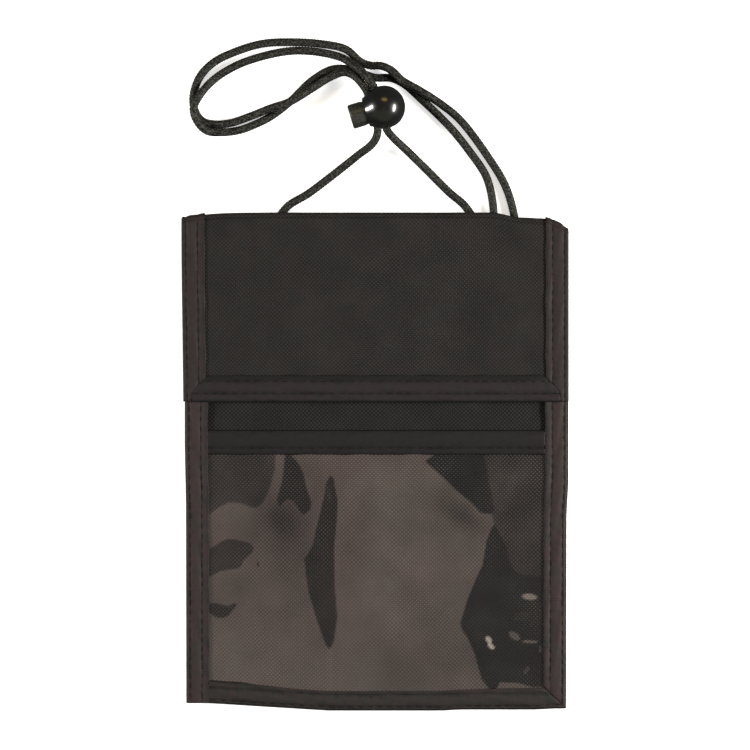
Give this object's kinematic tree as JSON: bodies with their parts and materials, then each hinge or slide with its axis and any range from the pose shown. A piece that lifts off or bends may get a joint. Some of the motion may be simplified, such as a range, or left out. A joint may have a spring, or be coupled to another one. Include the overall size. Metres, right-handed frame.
{
  "type": "id badge wallet",
  "caption": "Flat fabric badge wallet with a fold-over flap, a clear front pocket, bound edges and a neck cord run through a ball-shaped spring cord lock.",
  "frame": {"origin": "below the middle of the wallet, on the surface that it lies on, measured without the neck cord and its lock", "axes": "+Y towards the top fold and the neck cord, +Z out of the front, +X to the right as seen from the front"},
  "size_m": [0.1532, 0.2667, 0.0172],
  "materials": {
    "fabric": "coated woven cloth, matt",
    "tape": "ribbed polypropylene tape",
    "vinyl": "clear soft vinyl, glossy",
    "thread": "twisted polyester thread",
    "cord": "round braid",
    "lock_black": "polished",
    "button_black": "satin",
    "spring_steel": "bright wire"
  },
  "bodies": {
    "wallet": {"back_panel": "fabric", "top_fold": "fabric", "front_panel": "fabric", "front_panel_binding": "tape", "clear_window": "vinyl", "window_binding": "tape", "body_binding_left": "tape", "body_binding_right": "tape", "body_binding_bottom": "tape", "fold_binding_left": "tape", "fold_binding_right": "tape", "front_panel_stitching": "thread", "window_stitching": "thread", "body_stitching_left": "thread", "body_stitching_right": "thread", "body_stitching_bottom": "thread", "neck_cord": "cord", "cord_tab_left": "tape", "cord_tab_right": "tape", "lock_body": "lock_black", "lock_spring": "spring_steel"},
    "flap": {"flap_panel": "fabric", "flap_binding_left": "tape", "flap_binding_right": "tape", "flap_binding_bottom": "tape", "flap_stitching_left": "thread", "flap_stitching_right": "thread", "flap_stitching_bottom": "thread"},
    "button": {"lock_button": "button_black"}
  },
  "joints": [
    {"name": "flap_fold", "type": "hinge", "parent": "wallet", "child": "flap", "pos_m": [0, 0.09627, 0.00613], "axis": [-1, 0, 0], "range_deg": [0, 150], "deforming": ["top_fold", "fold_binding_left", "fold_binding_right"]},
    {"name": "button_press", "type": "slide", "parent": "wallet", "child": "button", "axis": [0.9563, 0.2924, 0], "range_m": [0, 0.0025], "stiffness_N_per_m": 800, "springref_m": -0.0015, "deforming": ["lock_spring"]}
  ]
}
